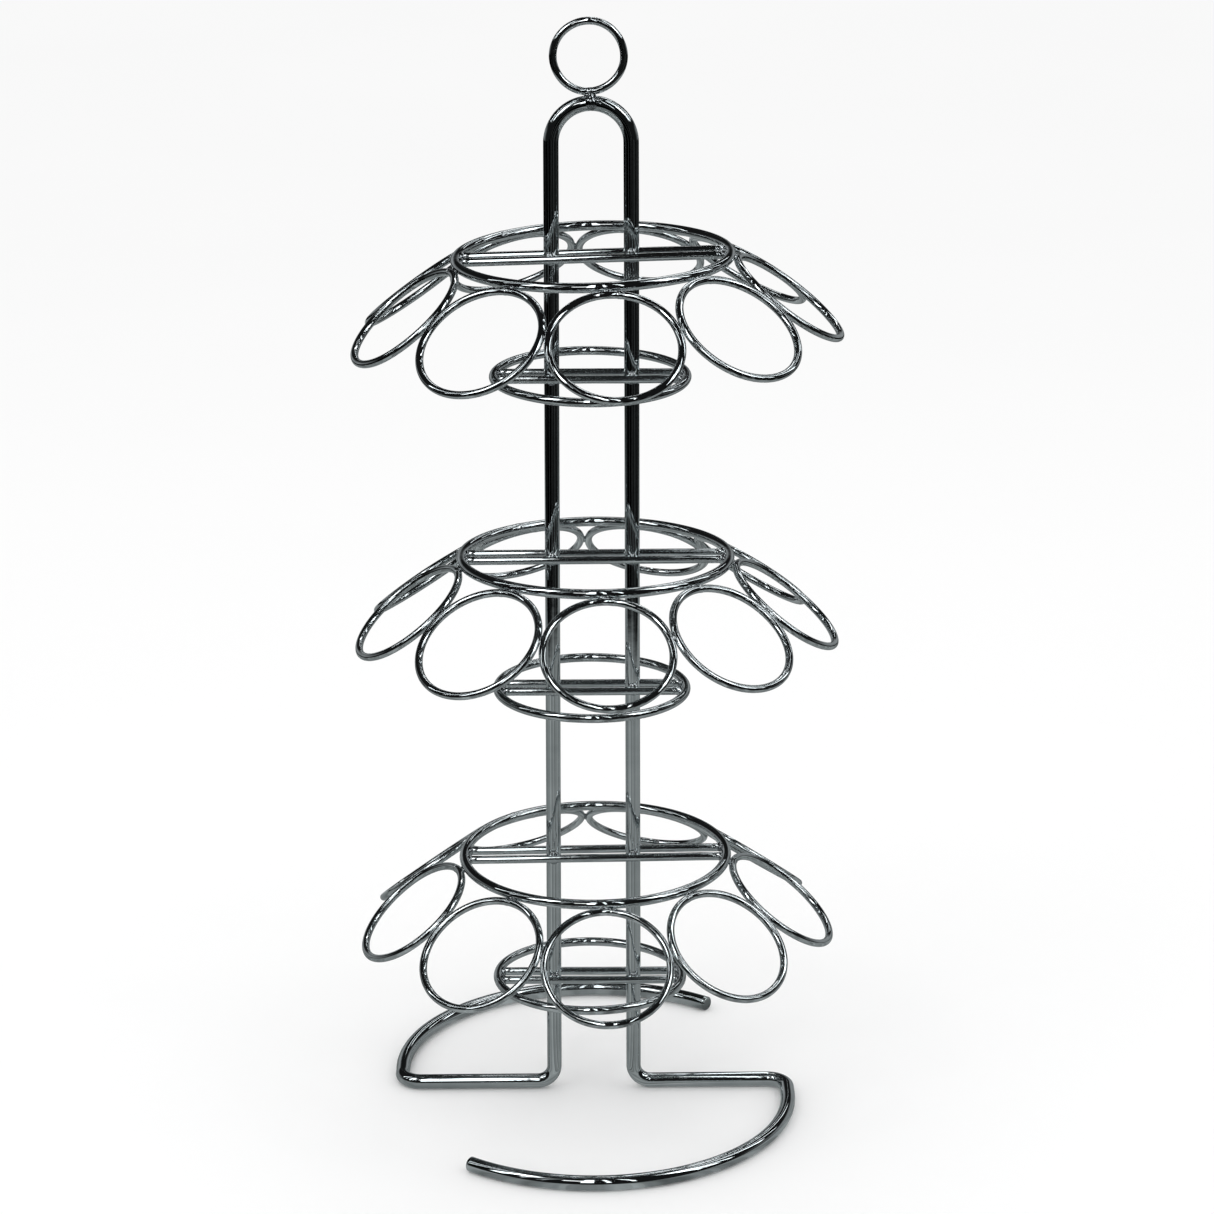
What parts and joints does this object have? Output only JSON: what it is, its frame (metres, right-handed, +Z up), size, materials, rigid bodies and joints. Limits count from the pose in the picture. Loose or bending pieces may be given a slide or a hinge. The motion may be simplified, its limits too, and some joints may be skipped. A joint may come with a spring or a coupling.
{
  "type": "coffee capsule tree",
  "caption": "Free-standing chrome wire tree: tiers of sloping rings hold single-serve coffee capsules, on curved rod feet, with a finger ring on top.",
  "frame": {"origin": "on the table, midway between the two posts", "axes": "+Z up the posts, +X along the bars and foot bars, the front foot arc towards -Y"},
  "size_m": [0.1933, 0.1955, 0.4484],
  "materials": {
    "chrome_rod": "bright chrome plate on smooth bent rod",
    "chrome_wire": "bright chrome plate on thin ring wire",
    "chrome_bar": "bright chrome plate on straight cut wire",
    "chrome_weld": "chrome plate over small uneven weld beads"
  },
  "bodies": {
    "root": {"arch_weld": "chrome_weld", "bottom_capsule_ring_1": "chrome_wire", "bottom_capsule_ring_2": "chrome_wire", "bottom_capsule_ring_3": "chrome_wire", "bottom_capsule_ring_4": "chrome_wire", "bottom_capsule_ring_5": "chrome_wire", "bottom_capsule_ring_6": "chrome_wire", "bottom_capsule_ring_7": "chrome_wire", "bottom_capsule_ring_8": "chrome_wire", "bottom_capsule_ring_9": "chrome_wire", "bottom_capsule_welds": "chrome_weld", "bottom_hub_bar_front": "chrome_bar", "bottom_hub_bar_rear": "chrome_bar", "bottom_hub_bar_welds": "chrome_weld", "bottom_hub_ring": "chrome_wire", "bottom_lower_bar_front": "chrome_bar", "bottom_lower_bar_rear": "chrome_bar", "bottom_lower_bar_welds": "chrome_weld", "bottom_lower_ring": "chrome_wire", "finger_ring": "chrome_wire", "frame_rod_left": "chrome_rod", "frame_rod_right": "chrome_rod", "middle_capsule_ring_1": "chrome_wire", "middle_capsule_ring_2": "chrome_wire", "middle_capsule_ring_3": "chrome_wire", "middle_capsule_ring_4": "chrome_wire", "middle_capsule_ring_5": "chrome_wire", "middle_capsule_ring_6": "chrome_wire", "middle_capsule_ring_7": "chrome_wire", "middle_capsule_ring_8": "chrome_wire", "middle_capsule_ring_9": "chrome_wire", "middle_capsule_welds": "chrome_weld", "middle_hub_bar_front": "chrome_bar", "middle_hub_bar_rear": "chrome_bar", "middle_hub_bar_welds": "chrome_weld", "middle_hub_ring": "chrome_wire", "middle_lower_bar_front": "chrome_bar", "middle_lower_bar_rear": "chrome_bar", "middle_lower_bar_welds": "chrome_weld", "middle_lower_ring": "chrome_wire", "top_capsule_ring_1": "chrome_wire", "top_capsule_ring_2": "chrome_wire", "top_capsule_ring_3": "chrome_wire", "top_capsule_ring_4": "chrome_wire", "top_capsule_ring_5": "chrome_wire", "top_capsule_ring_6": "chrome_wire", "top_capsule_ring_7": "chrome_wire", "top_capsule_ring_8": "chrome_wire", "top_capsule_ring_9": "chrome_wire", "top_capsule_welds": "chrome_weld", "top_hub_bar_front": "chrome_bar", "top_hub_bar_rear": "chrome_bar", "top_hub_bar_welds": "chrome_weld", "top_hub_ring": "chrome_wire", "top_lower_bar_front": "chrome_bar", "top_lower_bar_rear": "chrome_bar", "top_lower_bar_welds": "chrome_weld", "top_lower_ring": "chrome_wire"}
  },
  "joints": []
}
